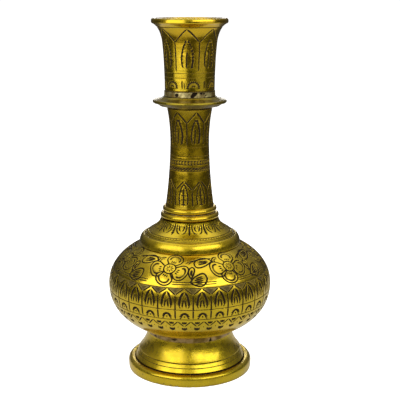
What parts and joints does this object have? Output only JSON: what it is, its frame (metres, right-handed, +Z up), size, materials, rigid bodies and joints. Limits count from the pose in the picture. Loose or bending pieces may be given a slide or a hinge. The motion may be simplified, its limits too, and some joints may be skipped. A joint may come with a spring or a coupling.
{
  "type": "brass bottle vase",
  "caption": "Engraved brass bottle vase with a flared foot, squat round body, slender neck and trumpet mouth.",
  "frame": {"origin": "centre of the foot's resting face, on the table", "axes": "+Z up along the vessel's axis of revolution; X and Y are alike"},
  "size_m": [0.1302, 0.1302, 0.2801],
  "materials": {
    "brass": "turned, worn satin",
    "engraved_brass": "engraved, dark patina in the lines",
    "polished_brass": "turned and polished by handling",
    "solder": "dull pinkish-grey solder and braze"
  },
  "bodies": {
    "root": {"foot": "brass", "foot_solder": "solder", "lower_bulb": "engraved_brass", "seam_braze": "solder", "upper_bulb": "engraved_brass", "shoulder_solder": "solder", "shoulder_collar": "brass", "lower_ring": "polished_brass", "neck_solder": "solder", "upper_ring": "polished_brass", "neck_tube": "engraved_brass", "flange_solder": "solder", "flange_disc": "polished_brass", "cup_solder": "solder", "mouth_cup": "engraved_brass"}
  },
  "joints": []
}
